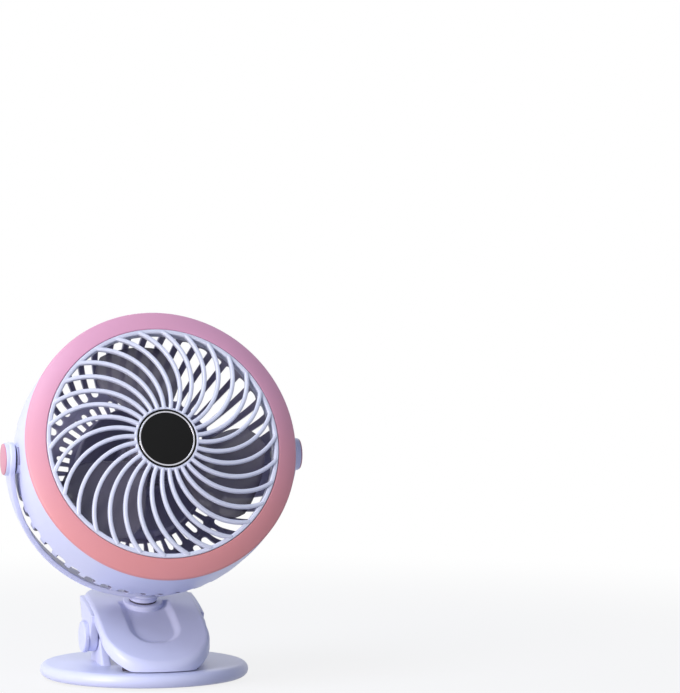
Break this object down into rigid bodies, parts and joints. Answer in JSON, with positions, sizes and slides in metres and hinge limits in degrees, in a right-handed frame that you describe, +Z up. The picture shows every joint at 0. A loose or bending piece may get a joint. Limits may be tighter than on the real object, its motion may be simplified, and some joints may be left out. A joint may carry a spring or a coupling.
{
  "type": "clip-on desk fan",
  "caption": "Clip-on desk fan: a drum head with swept grille ribs tilts in a yoke that swivels on a sprung clamp with a round base.",
  "frame": {"origin": "centre of the foot ring's face, on the surface that the base stands on", "axes": "X across the fan along the tilt and clamp axes, -Y to the front, +Z up"},
  "size_m": [0.1664, 0.1252, 0.2021],
  "materials": {
    "shell": "satin moulded plastic",
    "grille": "satin moulded plastic",
    "ring": "satin painted plastic",
    "cap": "satin painted plastic",
    "badge": "gloss",
    "trim": "polished",
    "blades": "smoked translucent plastic",
    "soft": "matt",
    "spring_wire": "bright wire",
    "screws": "zinc plated",
    "motor_steel": "plain",
    "bronze": "sintered",
    "winding": "enamelled wire",
    "magnet": "matt",
    "board": "solder mask",
    "black_plastic": "matt",
    "cell": "shrink sleeve",
    "lens": "clear"
  },
  "bodies": {
    "base": {"base_shell": "shell", "base_bottom": "shell", "foot_ring": "soft", "base_screws": "screws", "hinge_pin": "motor_steel", "clamp_spring": "spring_wire"},
    "arm": {"clamp_arm": "shell", "hinge_cap_left": "shell", "hinge_cap_right": "shell", "grip_pad": "soft", "swivel_washer": "soft"},
    "yoke": {"yoke": "shell", "neck_washer": "screws", "neck_screw": "screws", "cap_collar_left": "grille", "cap_collar_right": "grille", "tilt_cap_left": "cap", "tilt_cap_right": "cap"},
    "head": {"drum_shell": "shell", "rear_grille": "grille", "front_grille": "grille", "front_ring": "ring", "ring_screws_set": "screws", "badge": "badge", "badge_ring": "trim", "rear_cover": "shell", "cover_screws": "screws", "usb_socket": "motor_steel", "control_board": "board", "push_switch": "black_plastic", "light_pipe": "lens", "battery_cell": "cell", "motor_can": "motor_steel", "motor_end_cap": "black_plastic", "motor_magnets": "magnet", "motor_bearings": "bronze", "tilt_screws": "screws", "tilt_washers": "soft"},
    "impeller": {"motor_shaft": "motor_steel", "rotor": "winding", "impeller": "blades"},
    "button": {"power_button": "grille"}
  },
  "joints": [
    {"name": "clamp_hinge", "type": "hinge", "parent": "base", "child": "arm", "pos_m": [0, 0.004, 0.0228], "axis": [-1, 0, 0], "range_deg": [0, 45], "stiffness_Nm_per_rad": 0.5, "springref_deg": -68.75, "deforming": ["clamp_spring"]},
    {"name": "neck_swivel", "type": "hinge", "parent": "arm", "child": "yoke", "pos_m": [0, -0.01904, 0.12335], "axis": [0, -0.2706, 0.9627], "continuous": true},
    {"name": "head_tilt", "type": "hinge", "parent": "yoke", "child": "head", "pos_m": [0, -0.01904, 0.12335], "axis": [-1, 0, 0], "range_deg": [-43, 152]},
    {"name": "impeller_spin", "type": "hinge", "parent": "head", "child": "impeller", "pos_m": [0, -0.01904, 0.12335], "axis": [0, -0.9421, 0.3355], "continuous": true},
    {"name": "power_press", "type": "slide", "parent": "head", "child": "button", "axis": [0, -0.9421, 0.3355], "range_m": [0, 0.0008], "stiffness_N_per_m": 600, "springref_m": -0.0012}
  ]
}
